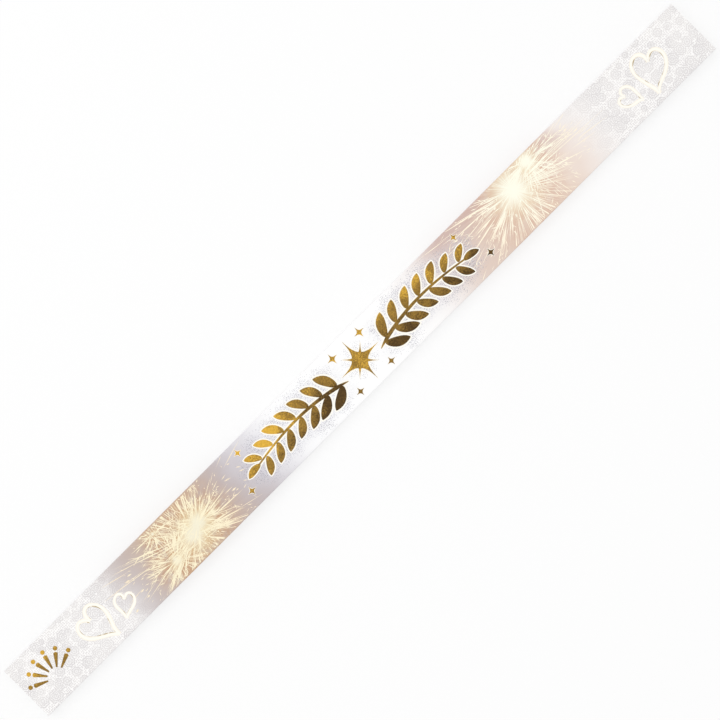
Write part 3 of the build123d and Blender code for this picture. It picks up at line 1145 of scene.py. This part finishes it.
for cloud in range(STAR_CLOUDS):
    turn = (cloud + 0.5) * math.tau / STAR_CLOUDS
    place = step_from(0, 0, turn, STAR_CLOUD_RADIUS)
    laid = on_front(*place, turn, up=glitter_dice.uniform(*CLOUD_HEIGHTS))
    place_copy(flake_cloud, laid, glitter_layer)


def silver_glitter(shader, point):
    """Painted glints: bright and dull flakes by turns."""
    feed(shader.inputs["Metallic"], FLAKE_SHINE)
    return mix(fade(noise(point, 1.9, 1.0), 0.35, 0.65), *FLAKE_GLINT_TONES)


glitter = join_layer("glitter", glitter_layer)
trim_to_front(glitter)
finish_print(glitter, new_material("silver_glitter", 0.35, 0.5, silver_glitter))
discard(flake, flake_cloud)


# Count mark: a fan of six little sparklers in gold foil at the handle end, one for each in the pack.
# Each is a tapered stroke with a round dot for its light.
MARK_PLACE = (-189.5, -4.6)
MARK_SPREAD = (math.radians(24), math.radians(156))
STROKE_ENDS = (4.4, 10.6)
STROKE_WIDTHS = (0.70, 2.0)
STROKE_CAP = 0.5
DOT_GAP = 2.0
DOT_RADIUS = 1.0
DOT_POINTS = 16

stroke_sides = [(along, width / 2) for along, width in zip(STROKE_ENDS, STROKE_WIDTHS)]
stroke_outline = [(along, -across) for along, across in stroke_sides]
stroke_outline += [(STROKE_ENDS[1] + STROKE_CAP, 0.0)] + stroke_sides[::-1]
stroke = flat_shape("stroke", [(along * MM, across * MM) for along, across in stroke_outline],
                    FOIL_LIFT, FOIL_CHAMFER)
dot_turns = [step * math.tau / DOT_POINTS for step in range(DOT_POINTS)]
dot_outline = [step_from(0, 0, turn, DOT_RADIUS * MM) for turn in dot_turns]
dot = flat_shape("dot", dot_outline, FOIL_LIFT, FOIL_CHAMFER)
mark_layer = []
for number in SPARKLERS:
    angle = part_way(MARK_SPREAD, (number - 1) / (len(SPARKLERS) - 1))
    place_copy(stroke, on_front(*MARK_PLACE, angle), mark_layer)
    dot_place = step_from(*MARK_PLACE, angle, STROKE_ENDS[1] + DOT_GAP)
    place_copy(dot, on_front(*dot_place), mark_layer)


def painted_mark_reflection(x, y):
    """How dark the foil of the mark is, as painted reflection: bright above, darker below."""
    return times(fade(y, 9.0, -3.0), 0.50)


# The mark's foil carries a painted reflection, bright above and darker below.
mark_foil = new_material("mark_foil", *FOIL_FINISH, gold_foil, painted_mark_reflection)
finish_print(join_layer("count_mark", mark_layer), mark_foil)
discard(stroke, dot, needle)


# Floor: a plain white sheet of card that the pack lies on.
# It is seen almost white and keeps only a part of the pack's soft shadow.
FLOOR_SIZE = 6.0
FLOOR_DROP = 0.05 * MM
FLOOR_WHITE = (0.97, 0.97, 0.97)
SHADOW_SHARE = 0.35


def seen(tree):
    """1 for rays that show a thing to the eye, directly or in a mirror; 0 for those that light others."""
    path = tree.nodes.new("ShaderNodeLightPath").outputs
    shown = calc("MAXIMUM", path["Is Camera Ray"], path["Is Glossy Ray"])
    return calc("MAXIMUM", shown, path["Is Transmission Ray"])


def floor_card(shader, point):
    """Card under plain white light, so that only a part of its shadow shows."""
    tree = shader.id_data
    white = tree.nodes.new("ShaderNodeEmission")
    layers = {0: times(seen(tree), 1.0 - SHADOW_SHARE), 1: shader.outputs[0], 2: white.outputs[0]}
    feed(tree.nodes["Material Output"].inputs["Surface"], add_node("MixShader", layers)[0])
    return ink(FLOOR_WHITE)


bpy.ops.mesh.primitive_grid_add(x_subdivisions=2, y_subdivisions=2, size=FLOOR_SIZE,
                                location=(0, 0, -FLOOR_DROP))
floor = bpy.context.object
floor.name = "floor"
floor.data.materials.append(new_material("floor_card", 0.9, 0.1, floor_card))


# Light: an even white room, which looks a little whiter than it lights.
# One broad soft lamp hangs above the upper end of the pack.
ROOM_LIGHT = 0.82
LAMP_POWER = 5.6
LAMP_SIZE = 1.2
LAMP_PLACE = Vector((-0.15, 0.45, 1.30))
world = bpy.data.worlds.new("room")
world.use_nodes = True
backdrop = world.node_tree.nodes["Background"]
backdrop.inputs["Color"].default_value = (1.0, 1.0, 1.0, 1.0)
feed(backdrop.inputs["Strength"], scaled(seen(world.node_tree), 1.0 - ROOM_LIGHT, ROOM_LIGHT))
bpy.context.scene.world = world
bpy.ops.object.light_add(type="AREA", location=LAMP_PLACE)
lamp = bpy.context.object
lamp.name = "soft_lamp"
lamp.data.energy = LAMP_POWER
lamp.data.size = LAMP_SIZE
lamp.rotation_euler = (-LAMP_PLACE).to_track_quat("-Z", "Y").to_euler()


# Camera: straight above the front, through a long lens.
# It is turned so that the pack lies corner to corner, as long in the frame as in the photograph.
FRAME_PIXELS = 720
PACK_PIXELS = 943.8
LENS = 100.0
SENSOR = 36.0
TURN = math.radians(-45.0)
frame_width = PACK_LENGTH / PACK_PIXELS * FRAME_PIXELS
bpy.ops.object.camera_add(location=(0, 0, FRONT + frame_width * LENS / SENSOR), rotation=(0, 0, TURN))
camera = bpy.context.object
camera.data.lens = LENS
camera.data.sensor_width = SENSOR
bpy.context.scene.camera = camera
